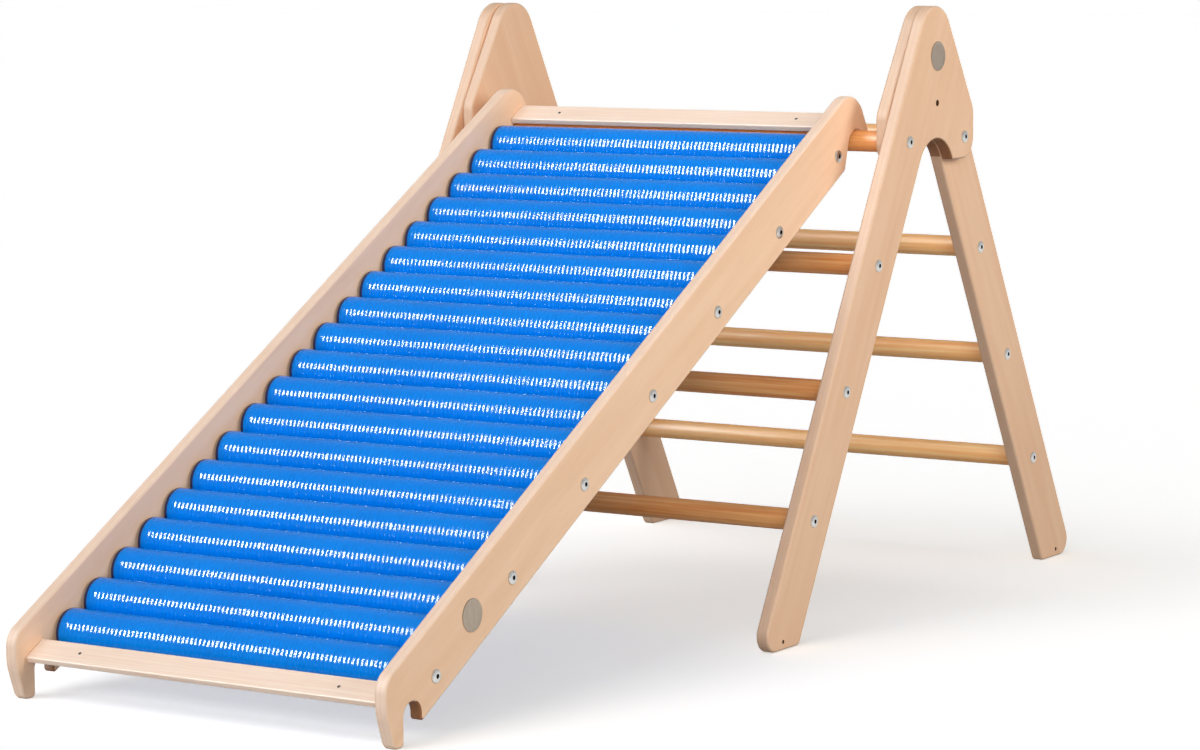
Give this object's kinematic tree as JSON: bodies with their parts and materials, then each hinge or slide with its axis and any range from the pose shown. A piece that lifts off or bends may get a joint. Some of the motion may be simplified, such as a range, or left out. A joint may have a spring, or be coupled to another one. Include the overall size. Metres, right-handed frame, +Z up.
{
  "type": "pikler triangle set",
  "caption": "Wooden climbing triangle of two rung ladders, with a roller slide hooked over its front top rung.",
  "frame": {"origin": "centre of the footprint at floor level", "axes": "+X across the slide, +Y from the slide's foot to the triangle, +Z up"},
  "size_m": [0.6604, 1.4846, 0.7379],
  "materials": {
    "birch_plywood": "clear satin lacquer",
    "pine": "clear satin lacquer",
    "pale_beech": "clear satin lacquer",
    "blue_plastic": "gloss",
    "steel": "satin"
  },
  "bodies": {
    "triangle": {"front_leg_plate_left": "birch_plywood", "front_leg_plate_right": "birch_plywood", "rear_leg_plate_left": "birch_plywood", "rear_leg_plate_right": "birch_plywood", "front_rung_1": "pine", "front_rung_2": "pine", "front_rung_3": "pine", "front_rung_4": "pine", "rear_rung_1": "pine", "rear_rung_2": "pine", "rear_rung_3": "pine", "rear_rung_4": "pine", "front_hub_bolt_left": "steel", "front_hub_bolt_right": "steel", "rear_hub_bolt_left": "steel", "rear_hub_bolt_right": "steel", "hub_badge": "steel"},
    "slide": {"slide_rail_left": "birch_plywood", "slide_rail_right": "birch_plywood", "bottom_slat": "pale_beech", "top_slat": "pale_beech", "rail_badge": "steel", "axle_01": "steel", "axle_02": "steel", "axle_03": "steel", "axle_04": "steel", "axle_05": "steel", "axle_06": "steel", "axle_07": "steel", "axle_08": "steel", "axle_09": "steel", "axle_10": "steel", "axle_11": "steel", "axle_12": "steel", "axle_13": "steel", "axle_14": "steel", "axle_15": "steel", "axle_16": "steel", "axle_17": "steel", "axle_18": "steel", "axle_19": "steel"},
    "roller_01": {"roller_01": "blue_plastic"},
    "roller_02": {"roller_02": "blue_plastic"},
    "roller_03": {"roller_03": "blue_plastic"},
    "roller_04": {"roller_04": "blue_plastic"},
    "roller_05": {"roller_05": "blue_plastic"},
    "roller_06": {"roller_06": "blue_plastic"},
    "roller_07": {"roller_07": "blue_plastic"},
    "roller_08": {"roller_08": "blue_plastic"},
    "roller_09": {"roller_09": "blue_plastic"},
    "roller_10": {"roller_10": "blue_plastic"},
    "roller_11": {"roller_11": "blue_plastic"},
    "roller_12": {"roller_12": "blue_plastic"},
    "roller_13": {"roller_13": "blue_plastic"},
    "roller_14": {"roller_14": "blue_plastic"},
    "roller_15": {"roller_15": "blue_plastic"},
    "roller_16": {"roller_16": "blue_plastic"},
    "roller_17": {"roller_17": "blue_plastic"},
    "roller_18": {"roller_18": "blue_plastic"},
    "roller_19": {"roller_19": "blue_plastic"}
  },
  "joints": [
    {"name": "slide_hook_pivot", "type": "hinge", "parent": "triangle", "child": "slide", "pos_m": [0, 0.25296, 0.57464], "axis": [-1, 0, 0], "range_deg": [0, 50]},
    {"name": "roller_01_spin", "type": "hinge", "parent": "slide", "child": "roller_01", "pos_m": [0, -0.6536, 0.0649], "axis": [1, 0, 0], "continuous": true},
    {"name": "roller_02_spin", "type": "hinge", "parent": "slide", "child": "roller_02", "pos_m": [0, -0.60591, 0.0923], "axis": [1, 0, 0], "continuous": true},
    {"name": "roller_03_spin", "type": "hinge", "parent": "slide", "child": "roller_03", "pos_m": [0, -0.55823, 0.1197], "axis": [1, 0, 0], "continuous": true},
    {"name": "roller_04_spin", "type": "hinge", "parent": "slide", "child": "roller_04", "pos_m": [0, -0.51054, 0.14711], "axis": [1, 0, 0], "continuous": true},
    {"name": "roller_05_spin", "type": "hinge", "parent": "slide", "child": "roller_05", "pos_m": [0, -0.46285, 0.17451], "axis": [1, 0, 0], "continuous": true},
    {"name": "roller_06_spin", "type": "hinge", "parent": "slide", "child": "roller_06", "pos_m": [0, -0.41516, 0.20191], "axis": [1, 0, 0], "continuous": true},
    {"name": "roller_07_spin", "type": "hinge", "parent": "slide", "child": "roller_07", "pos_m": [0, -0.36748, 0.22931], "axis": [1, 0, 0], "continuous": true},
    {"name": "roller_08_spin", "type": "hinge", "parent": "slide", "child": "roller_08", "pos_m": [0, -0.31979, 0.25672], "axis": [1, 0, 0], "continuous": true},
    {"name": "roller_09_spin", "type": "hinge", "parent": "slide", "child": "roller_09", "pos_m": [0, -0.2721, 0.28412], "axis": [1, 0, 0], "continuous": true},
    {"name": "roller_10_spin", "type": "hinge", "parent": "slide", "child": "roller_10", "pos_m": [0, -0.22441, 0.31152], "axis": [1, 0, 0], "continuous": true},
    {"name": "roller_11_spin", "type": "hinge", "parent": "slide", "child": "roller_11", "pos_m": [0, -0.17672, 0.33892], "axis": [1, 0, 0], "continuous": true},
    {"name": "roller_12_spin", "type": "hinge", "parent": "slide", "child": "roller_12", "pos_m": [0, -0.12904, 0.36632], "axis": [1, 0, 0], "continuous": true},
    {"name": "roller_13_spin", "type": "hinge", "parent": "slide", "child": "roller_13", "pos_m": [0, -0.08135, 0.39373], "axis": [1, 0, 0], "continuous": true},
    {"name": "roller_14_spin", "type": "hinge", "parent": "slide", "child": "roller_14", "pos_m": [0, -0.03366, 0.42113], "axis": [1, 0, 0], "continuous": true},
    {"name": "roller_15_spin", "type": "hinge", "parent": "slide", "child": "roller_15", "pos_m": [0, 0.01403, 0.44853], "axis": [1, 0, 0], "continuous": true},
    {"name": "roller_16_spin", "type": "hinge", "parent": "slide", "child": "roller_16", "pos_m": [0, 0.06171, 0.47593], "axis": [1, 0, 0], "continuous": true},
    {"name": "roller_17_spin", "type": "hinge", "parent": "slide", "child": "roller_17", "pos_m": [0, 0.1094, 0.50333], "axis": [1, 0, 0], "continuous": true},
    {"name": "roller_18_spin", "type": "hinge", "parent": "slide", "child": "roller_18", "pos_m": [0, 0.15709, 0.53074], "axis": [1, 0, 0], "continuous": true},
    {"name": "roller_19_spin", "type": "hinge", "parent": "slide", "child": "roller_19", "pos_m": [0, 0.20478, 0.55814], "axis": [1, 0, 0], "continuous": true}
  ]
}
